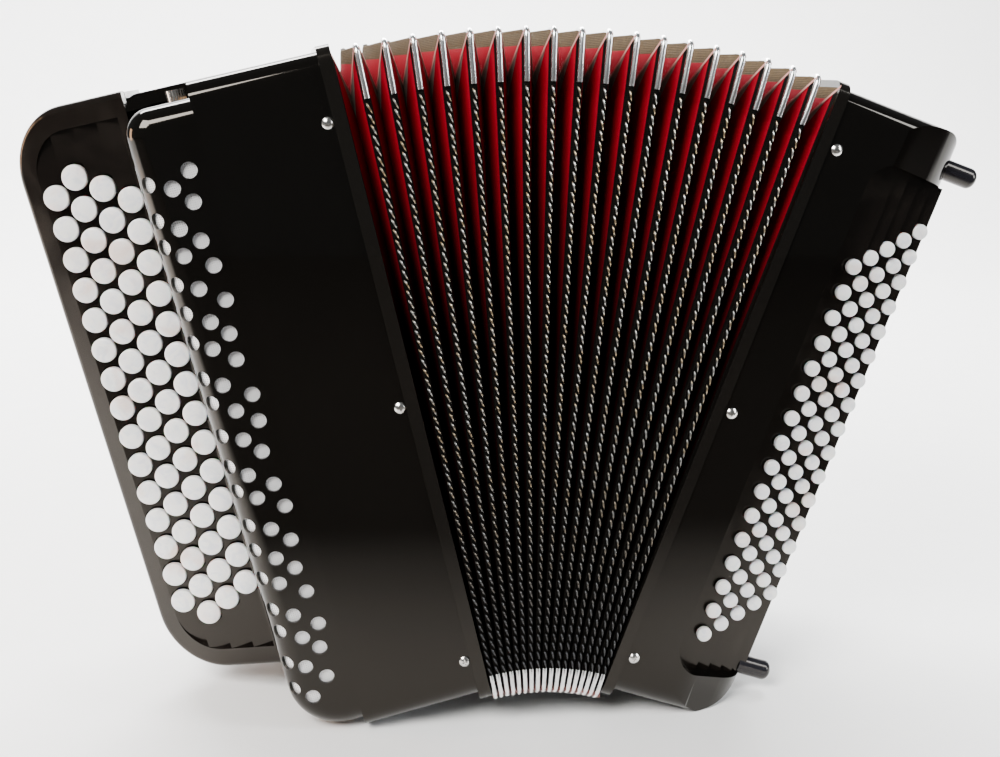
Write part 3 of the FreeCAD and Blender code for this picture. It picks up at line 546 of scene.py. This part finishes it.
for number in range(1, FOLDS + 2):
    right = "bass_side" if number == FOLDS + 1 else "fold_%02d" % number
    middle = hinge_frame(number, TREBLE_TILT + STEP * (number - 0.5))
    for piece in (make_pleat(number, middle), make_gussets(number, middle)):
        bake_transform(piece)


# ---------------------------------------------------- ridge binding, caps and braid
# A chromed half-round cap is pinned over each corner of every ridge.  A twisted
# cord of silver and gilt thread is stitched down the ridges between the caps.

def braid_finish():
    """Silver and gilt thread, bright above, with painted shade that darkens it nearly to black further down.
    """
    finish = Finish("gilt braid", Metallic=1.0)
    place = finish.place()
    # Painted shade: the thread is lit at the top and mixed towards near black lower down, by height.
    lit_from_above = finish.axis(place, "Z").ramp(0.04, 0.34)
    gilt = finish.noise(place, 210.0, 2.0).ramp(0.4, 0.62)
    twist = finish.noise(place, 1500.0, 2.0)
    lit_thread = finish.mixed(gilt, (0.80, 0.78, 0.74, 1), (0.74, 0.56, 0.34, 1))
    finish.set(Base_Color=finish.mixed(lit_from_above, (0.07, 0.07, 0.072, 1), lit_thread),
               Roughness=0.22 + 0.25 * twist, Normal=finish.bump(twist, 0.05 * MM, 0.6))
    return finish.material


braid_metal = braid_finish()
CAP_WIDTH = (2.7, 3.3)
CAP_HEIGHT = 1.7
TOP_LEG = 26.0
BOTTOM_LEG = 15.0
OVER_LEG = 11.0
STITCH = 5.4


def cap_path(y_side, z_side, leg):
    """Centre line (y, z, outward) of one corner cap, from its leg round to the end."""
    steps = []
    for k in range(5):
        steps.append((0.0, leg - (leg - CORNER) * k / 4, Vector((-1, 0))))
    for k in range(1, 7):
        turn = math.radians(90 * k / 6)
        out = Vector((-math.cos(turn), -math.sin(turn)))
        steps.append((CORNER + CORNER * out.x, CORNER + CORNER * out.y, out))
    steps.append((OVER_LEG, 0.0, Vector((0, -1))))
    path = []
    for y, z, out in steps:
        if y_side:
            y, out = DEPTH - y, Vector((-out.x, out.y))
        if z_side:
            z, out = HEIGHT - z, Vector((out.x, -out.y))
        path.append((Vector((y, z)), out))
    return path


def make_caps(number, place):
    """Half-round caps, a little narrower at the bottom where the ridges crowd."""
    skin = Skin()
    for y_side in (0, 1):
        for z_side in (0, 1):
            path = cap_path(y_side, z_side, TOP_LEG if z_side else BOTTOM_LEG)
            rows = []
            for step, (at, out) in enumerate(path):
                thin = 0.55 if step in (0, len(path) - 1) else 1.0
                row = []
                for k in range(9):
                    turn = math.radians(-115 + 230 * k / 8)
                    across = CAP_WIDTH[z_side] / 2 * math.sin(turn)
                    lift = thin * CAP_HEIGHT * math.cos(turn) + 0.1
                    point = at + out * lift
                    row.append((fold_middle() + across, point.x, point.y))
                rows.append(row)
            skin.loft(rows, around=True, capped=True)
    piece = skin.make("corner_caps_%02d" % number, place, chrome)
    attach(piece, "fold_%02d" % number)


def make_braid(number, place):
    """Slanted strands lie over one another like a twisted cord, front and back."""
    skin = Skin()
    length = HEIGHT - TOP_LEG - BOTTOM_LEG
    count = int(length / STITCH)
    lie = ((-1.0, 2.5, 0.30, 0.9), (-0.6, 1.4, 0.72, 1.2), (0.25, -0.9, 0.52, 0.9), (1.0, -3.1, 0.22, 0.4))
    for y_side in (0, 1):
        for stitch in range(count):
            z = BOTTOM_LEG + STITCH * (stitch + 0.5)
            rows = []
            for across, along, radius, lift in lie:
                row = []
                for k in range(4):
                    turn = math.pi * (k / 2 + 0.25)
                    x = fold_middle() + across + radius * math.cos(turn)
                    y = -lift + radius * math.sin(turn) * 0.8
                    row.append((x, DEPTH - y if y_side else y, z + along))
                rows.append(row)
            skin.loft(rows, around=True, capped=True)
    piece = skin.make("braid_%02d" % number, place, braid_metal, angle=80.0)
    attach(piece, "fold_%02d" % number)


for number in range(1, FOLDS + 1):
    ridge = hinge_frame(number, TREBLE_TILT + STEP * number)
    make_tape(number, ridge)
    make_caps(number, ridge)
    make_braid(number, ridge)


# ---------------------------------------------------------------------- hand strap
# The player's left hand goes under a padded leather strap on the bass end.  It is
# black leather on felt, stitched along both edges.

STRAP_FRONT = 86.0
STRAP_WIDTH = 68.0
STRAP_END = 138.0
STRAP_THICK = 2.6
STRAP_FACE = 80.0
STRAP_STEPS = 40
STITCHES = 54
STITCH_PITCH = 4.9
STITCH_EDGE = 5.0
STRAP_SECTION = ((0.0, 0.5), (0.02, 0.15), (0.1, 0.0), (0.5, 0.0), (0.9, 0.0), (0.98, 0.15),
                 (1.0, 0.5), (0.98, 0.85), (0.9, 1.0), (0.5, 1.1), (0.1, 1.0), (0.02, 0.85))


def strap_finish():
    finish = Finish("strap leather", Sheen_Weight=0.1)
    place = finish.place()
    grain = finish.node("ShaderNodeTexVoronoi", {"feature": "SMOOTH_F1"}, {"Vector": place, "Scale": 620.0})
    creases = finish.noise(finish.place(stretch=(1.0, 1.0, 0.3)), 130.0, 5.0, 0.7)
    finish.set(Base_Color=finish.mixed(creases, (0.010, 0.009, 0.008, 1), (0.035, 0.028, 0.024, 1)),
               Roughness=0.38 + 0.3 * grain, Normal=finish.bump(grain + creases, 0.25 * MM, 0.6))
    return finish.material


def bass_frame():
    """The bass casing's own frame, in mm, worked out from the last hinge."""
    hinge = hinges["bellows_19"]
    turn = Matrix.Rotation(math.radians(BASS_TILT), 4, "Y")
    back = Matrix.Translation((11.5 + HALF_GAP, -DEPTH / 2, 182.0))
    return Matrix.Translation(hinge) @ turn @ Matrix.Scale(MM, 4) @ back


def strap_stand(z):
    """How far the strap stands off the end of the casing at height z."""
    span = min(max((z + STRAP_END) / (2 * STRAP_END), 0.0), 1.0)
    return 2.0 + 18.0 * math.sin(math.pi * span) ** 0.7


def make_strap():
    skin = Skin()
    rows = []
    for step in range(STRAP_STEPS + 1):
        z = -STRAP_END + 2 * STRAP_END * step / STRAP_STEPS
        inner = STRAP_FACE + strap_stand(z)
        row = []
        for share, depth in STRAP_SECTION:
            row.append((inner + STRAP_THICK * depth, STRAP_FRONT + STRAP_WIDTH * share, z))
        rows.append(row)
    skin.loft(rows, around=True, capped=True)
    for edge in (STITCH_EDGE, STRAP_WIDTH - STITCH_EDGE):
        for stitch in range(STITCHES):
            z = -STRAP_END + 8 + stitch * STITCH_PITCH
            x = STRAP_FACE + strap_stand(z) + STRAP_THICK
            rows = []
            for along, radius in ((-1.7, 0.12), (-0.8, 0.42), (0.8, 0.42), (1.7, 0.12)):
                row = []
                for k in range(4):
                    turn = math.pi * (k / 2 + 0.25)
                    row.append((x + 0.1 + radius * math.cos(turn),
                                STRAP_FRONT + edge + radius * math.sin(turn), z + along))
                rows.append(row)
            skin.loft(rows, around=True, capped=True, slot=lambda row, column: 1)
    thread = Finish("strap thread")
    twist = thread.noise(thread.place(), 1400.0, 2.0)
    thread.set(Base_Color=thread.mixed(twist, (0.10, 0.09, 0.08, 1), (0.24, 0.22, 0.19, 1)),
               Roughness=0.6 + 0.2 * twist)
    piece = skin.make("hand_strap", bass_frame(), strap_finish(), thread.material, angle=50.0)
    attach(piece, "bass_side")
    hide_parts("bass_strap")


make_strap()


# -------------------------------------------------------------------------- studio
# A pale table with a curved backdrop behind it.  A large soft light comes from the
# upper left, a smaller one from the right, one from above and behind, and a small
# warm one from low on the left.

def backdrop():
    """White paper, dark on the viewer's side, where the casings would mirror it."""
    skin = Skin()
    profile = [(-2.0, 0.0), (0.0, 0.0), (1.3, 0.0)]
    profile += [(1.3 + 0.7 * math.sin(math.radians(15 * k)), 0.7 - 0.7 * math.cos(math.radians(15 * k)))
                for k in range(1, 7)]
    profile.append((2.0, 2.6))
    skin.loft([[(x, y, z) for y, z in profile] for x in (-2.4, -0.8, 0.8, 2.4)])
    paper = Finish("white paper", Specular_IOR_Level=0.2)
    fibre = paper.noise(paper.place(), 30.0, 4.0)
    white = paper.mixed(fibre, (0.93, 0.93, 0.925, 1), (0.97, 0.97, 0.965, 1))
    near = paper.axis(paper.place(), "Y").ramp(-0.45, -0.16)
    paper.set(Base_Color=paper.mixed(near, (0.035, 0.032, 0.03, 1), white),
              Roughness=0.8 + 0.1 * fibre)
    piece = skin.make("backdrop", Matrix.Translation((0, 0, -0.0005)), paper.material)


def softbox(name, place, aim, size, power, colour):
    lamp = bpy.data.lights.new(name, "AREA")
    lamp.shape = "RECTANGLE"
    lamp.size, lamp.size_y = size
    lamp.energy = power
    lamp.color = colour
    holder = bpy.data.objects.new(name, lamp)
    holder.location = place
    holder.rotation_euler = (Vector(aim) - Vector(place)).to_track_quat("-Z", "Y").to_euler()
    bpy.context.scene.collection.objects.link(holder)


backdrop()
softbox("main light", (-1.1, -1.3, 1.5), (0, 0, 0.2), (1.0, 1.0), 88, (1.0, 0.98, 0.95))
softbox("side light", (1.5, -0.8, 0.9), (0, 0, 0.2), (0.4, 1.2), 24, (0.95, 0.98, 1.0))
softbox("top light", (0.0, 1.3, 2.0), (0, 1.1, 0), (2.8, 0.7), 240, (1.0, 1.0, 1.0))
softbox("warm light", (-1.3, 0.1, 0.35), (0, 0, 0.2), (0.3, 0.5), 7, (1.0, 0.62, 0.38))
world = bpy.data.worlds.new("studio")
world.use_nodes = True
world.node_tree.nodes["Background"].inputs["Color"].default_value = (0.9, 0.95, 1.0, 1)
world.node_tree.nodes["Background"].inputs["Strength"].default_value = 0.12
bpy.context.scene.world = world

camera = bpy.data.cameras.new("camera")
camera.lens = 46.8
camera.clip_start = 0.05
eye = bpy.data.objects.new("camera", camera)
right = Vector((0.989, -0.150, 0.022)).normalized()
forward = Vector((0.151, 0.961, -0.232)).normalized()
above = right.cross(forward)
turn = Matrix((right, above, -forward)).transposed()
eye.matrix_world = Matrix.Translation((-0.1161, -0.7723, 0.3676)) @ turn.to_4x4()
bpy.context.scene.collection.objects.link(eye)
bpy.context.scene.camera = eye
